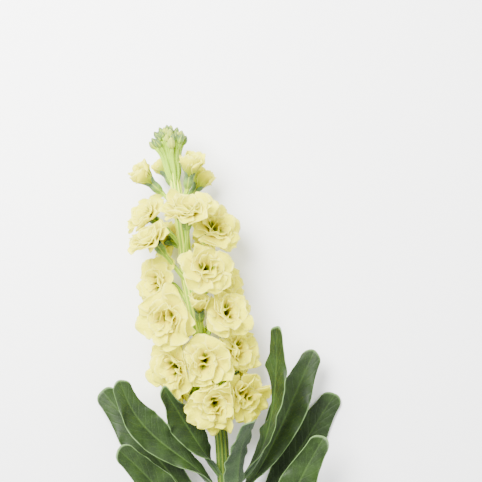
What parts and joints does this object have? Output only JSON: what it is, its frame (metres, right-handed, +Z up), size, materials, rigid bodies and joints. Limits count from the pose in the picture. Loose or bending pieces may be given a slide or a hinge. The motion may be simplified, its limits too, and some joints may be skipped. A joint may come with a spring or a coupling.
{
  "type": "cut stock flower stem",
  "caption": "Cut stem of double stock lying on its side: ruffled pale yellow blooms, felted buds at the tip, spoon-shaped green leaves and a bare stalk.",
  "frame": {"origin": "middle of the underside of the object's box, on the surface that the stem lies on", "axes": "+Y along the stalk from its cut end to the bud cluster, +Z up from the surface, +X to the right seen from above with the tip at the top"},
  "size_m": [0.1719, 0.521, 0.0698],
  "materials": {
    "petal": "soft matte, slightly translucent",
    "leaf": "matte, finely felted",
    "stalk": "matte, finely felted"
  },
  "bodies": {
    "root": {"bloom_01": "petal", "bloom_02": "petal", "bloom_03": "petal", "bloom_04": "petal", "bloom_05": "petal", "bloom_06": "petal", "bloom_07": "petal", "bloom_08": "petal", "bloom_09": "petal", "bloom_10": "petal", "bloom_11": "petal", "bloom_12": "petal", "bloom_13": "petal", "bloom_14": "petal", "bloom_15": "petal", "bloom_16": "petal", "bloom_17": "petal", "bloom_18": "petal", "bloom_19": "petal", "bloom_20": "petal", "bloom_21": "petal", "bloom_22": "petal", "bloom_23": "petal", "bloom_24": "petal", "bloom_25": "petal", "leaf_01": "leaf", "leaf_02": "leaf", "leaf_03": "leaf", "leaf_04": "leaf", "leaf_05": "leaf", "leaf_06": "leaf", "leaf_07": "leaf", "leaf_08": "leaf", "leaf_09": "leaf", "leaf_10": "leaf", "leaf_11": "leaf", "leaf_12": "leaf", "leaf_13": "leaf", "leaf_14": "leaf", "leaf_15": "leaf", "stem": "stalk"}
  },
  "joints": []
}
